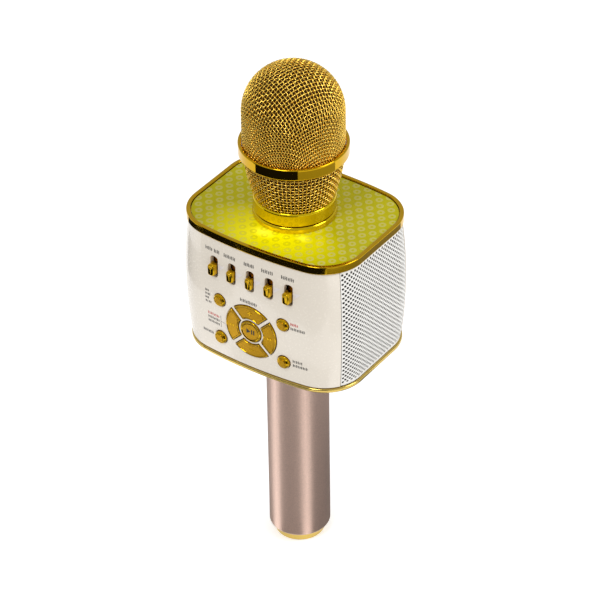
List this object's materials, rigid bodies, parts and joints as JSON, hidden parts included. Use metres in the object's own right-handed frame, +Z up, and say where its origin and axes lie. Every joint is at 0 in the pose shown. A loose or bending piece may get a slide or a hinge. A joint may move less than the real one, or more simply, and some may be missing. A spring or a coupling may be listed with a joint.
{
  "type": "karaoke microphone",
  "caption": "Hand-held karaoke microphone: wire-mesh head on a barrel-sided speaker box with faders and push buttons, and a round handle.",
  "frame": {"origin": "centre of the end cap's lower face, which the microphone stands on", "axes": "+Z up the handle's axis to the mesh head; the control panel faces -Y; +X to the panel's right"},
  "size_m": [0.0992, 0.0787, 0.276],
  "materials": {
    "pearl_white_plastic": "glossy pearl-white moulded ABS with fine mica sparkle",
    "white_perforated_steel": "white powder-coated perforated sheet",
    "gold_plated_plastic": "gold vacuum-metallised ABS, mirror bright",
    "gold_plated_metal": "polished gold plating on turned metal",
    "gold_wire_mesh": "gold-plated woven wire mesh",
    "rose_gold_aluminium": "satin rose-gold anodising",
    "yellow_lens": "translucent yellow acrylic, lit from below, printed with pale rings",
    "black_plastic": "matt black moulded plastic",
    "grey_foam": "open-cell windscreen foam",
    "green_circuit_board": "green solder mask",
    "plated_steel": "nickel-plated pressed steel",
    "black_cone": "black treated paper",
    "ferrite": "sintered ferrite",
    "battery_sleeve": "shrink-wrapped lithium cell"
  },
  "bodies": {
    "root": {"aux_jack": "black_plastic", "battery_cell": "battery_sleeve", "bottom_plate": "pearl_white_plastic", "bottom_trim": "gold_plated_plastic", "capsule_mount": "black_plastic", "card_slot": "plated_steel", "case_screw_1": "plated_steel", "case_screw_2": "plated_steel", "case_screw_3": "plated_steel", "case_screw_4": "plated_steel", "charge_socket": "plated_steel", "end_cap": "black_plastic", "end_ring": "gold_plated_metal", "fader_pot_1": "plated_steel", "fader_pot_2": "plated_steel", "fader_pot_3": "plated_steel", "fader_pot_4": "plated_steel", "fader_pot_5": "plated_steel", "front_panel": "pearl_white_plastic", "handle_core": "black_plastic", "handle_tube": "rose_gold_aluminium", "inner_frame": "black_plastic", "light_board": "green_circuit_board", "main_board": "green_circuit_board", "mic_capsule": "plated_steel", "neck_collar": "gold_plated_metal", "port_board": "green_circuit_board", "rear_panel": "pearl_white_plastic", "side_grille_left": "white_perforated_steel", "side_grille_right": "white_perforated_steel", "speaker_frame_left": "plated_steel", "speaker_frame_right": "plated_steel", "speaker_magnet_left": "ferrite", "speaker_magnet_right": "ferrite", "top_lens": "yellow_lens", "top_trim": "gold_plated_plastic", "usb_socket": "plated_steel"},
    "windscreen": {"windscreen_foam": "grey_foam"},
    "grille_head": {"grille_dome": "gold_wire_mesh", "grille_band": "gold_plated_metal", "grille_basket": "gold_wire_mesh", "grille_thread_ring": "gold_plated_metal"},
    "fader_1": {"fader_knob_1": "gold_plated_plastic"},
    "fader_2": {"fader_knob_2": "gold_plated_plastic"},
    "fader_3": {"fader_knob_3": "gold_plated_plastic"},
    "fader_4": {"fader_knob_4": "gold_plated_plastic"},
    "fader_5": {"fader_knob_5": "gold_plated_plastic"},
    "button_mode_cap": {"button_mode": "gold_plated_plastic"},
    "button_tone_cap": {"button_tone": "gold_plated_plastic"},
    "button_record_cap": {"button_record": "gold_plated_plastic"},
    "button_vocal_cap": {"button_vocal": "gold_plated_plastic"},
    "pad_up_cap": {"pad_up": "gold_plated_plastic"},
    "pad_left_cap": {"pad_left": "gold_plated_plastic"},
    "pad_down_cap": {"pad_down": "gold_plated_plastic"},
    "pad_right_cap": {"pad_right": "gold_plated_plastic"},
    "button_play_cap": {"button_play": "gold_plated_plastic"},
    "cone_left": {"speaker_cone_left": "black_cone"},
    "cone_right": {"speaker_cone_right": "black_cone"}
  },
  "joints": [
    {"name": "grille_rise", "type": "slide", "parent": "root", "child": "windscreen", "axis": [0, 0, 1], "range_m": [0, 0.00451]},
    {"name": "grille_turn", "type": "hinge", "parent": "windscreen", "child": "grille_head", "pos_m": [0, 0, 0.2], "axis": [0, 0, 1], "range_deg": [0, 1080]},
    {"name": "fader_1_slide", "type": "slide", "parent": "root", "child": "fader_1", "axis": [0, 0, 1], "range_m": [-0.0015, 0.0031]},
    {"name": "fader_2_slide", "type": "slide", "parent": "root", "child": "fader_2", "axis": [0, 0, 1], "range_m": [-0.0015, 0.0031]},
    {"name": "fader_3_slide", "type": "slide", "parent": "root", "child": "fader_3", "axis": [0, 0, 1], "range_m": [-0.0015, 0.0031]},
    {"name": "fader_4_slide", "type": "slide", "parent": "root", "child": "fader_4", "axis": [0, 0, 1], "range_m": [-0.0015, 0.0031]},
    {"name": "fader_5_slide", "type": "slide", "parent": "root", "child": "fader_5", "axis": [0, 0, 1], "range_m": [-0.0015, 0.0031]},
    {"name": "button_mode_press", "type": "slide", "parent": "root", "child": "button_mode_cap", "axis": [0, 1, 0], "range_m": [0, 0.0007], "stiffness_N_per_m": 300, "springref_m": -0.0005},
    {"name": "button_tone_press", "type": "slide", "parent": "root", "child": "button_tone_cap", "axis": [0, 1, 0], "range_m": [0, 0.0007], "stiffness_N_per_m": 300, "springref_m": -0.0005},
    {"name": "button_record_press", "type": "slide", "parent": "root", "child": "button_record_cap", "axis": [0, 1, 0], "range_m": [0, 0.0007], "stiffness_N_per_m": 300, "springref_m": -0.0005},
    {"name": "button_vocal_press", "type": "slide", "parent": "root", "child": "button_vocal_cap", "axis": [0, 1, 0], "range_m": [0, 0.0007], "stiffness_N_per_m": 300, "springref_m": -0.0005},
    {"name": "pad_up_press", "type": "slide", "parent": "root", "child": "pad_up_cap", "axis": [0, 1, 0], "range_m": [0, 0.0007], "stiffness_N_per_m": 300, "springref_m": -0.0005},
    {"name": "pad_left_press", "type": "slide", "parent": "root", "child": "pad_left_cap", "axis": [0, 1, 0], "range_m": [0, 0.0007], "stiffness_N_per_m": 300, "springref_m": -0.0005},
    {"name": "pad_down_press", "type": "slide", "parent": "root", "child": "pad_down_cap", "axis": [0, 1, 0], "range_m": [0, 0.0007], "stiffness_N_per_m": 300, "springref_m": -0.0005},
    {"name": "pad_right_press", "type": "slide", "parent": "root", "child": "pad_right_cap", "axis": [0, 1, 0], "range_m": [0, 0.0007], "stiffness_N_per_m": 300, "springref_m": -0.0005},
    {"name": "button_play_press", "type": "slide", "parent": "root", "child": "button_play_cap", "axis": [0, 1, 0], "range_m": [0, 0.0007], "stiffness_N_per_m": 300, "springref_m": -0.0005},
    {"name": "cone_left_stroke", "type": "slide", "parent": "root", "child": "cone_left", "axis": [1, 0, 0], "range_m": [-0.001, 0.001], "stiffness_N_per_m": 1000},
    {"name": "cone_right_stroke", "type": "slide", "parent": "root", "child": "cone_right", "axis": [1, 0, 0], "range_m": [-0.001, 0.001], "stiffness_N_per_m": 1000}
  ],
  "couplings": [
    {"joint": "grille_rise", "follows": "grille_turn", "m_per_rad": 0.00023873}
  ]
}
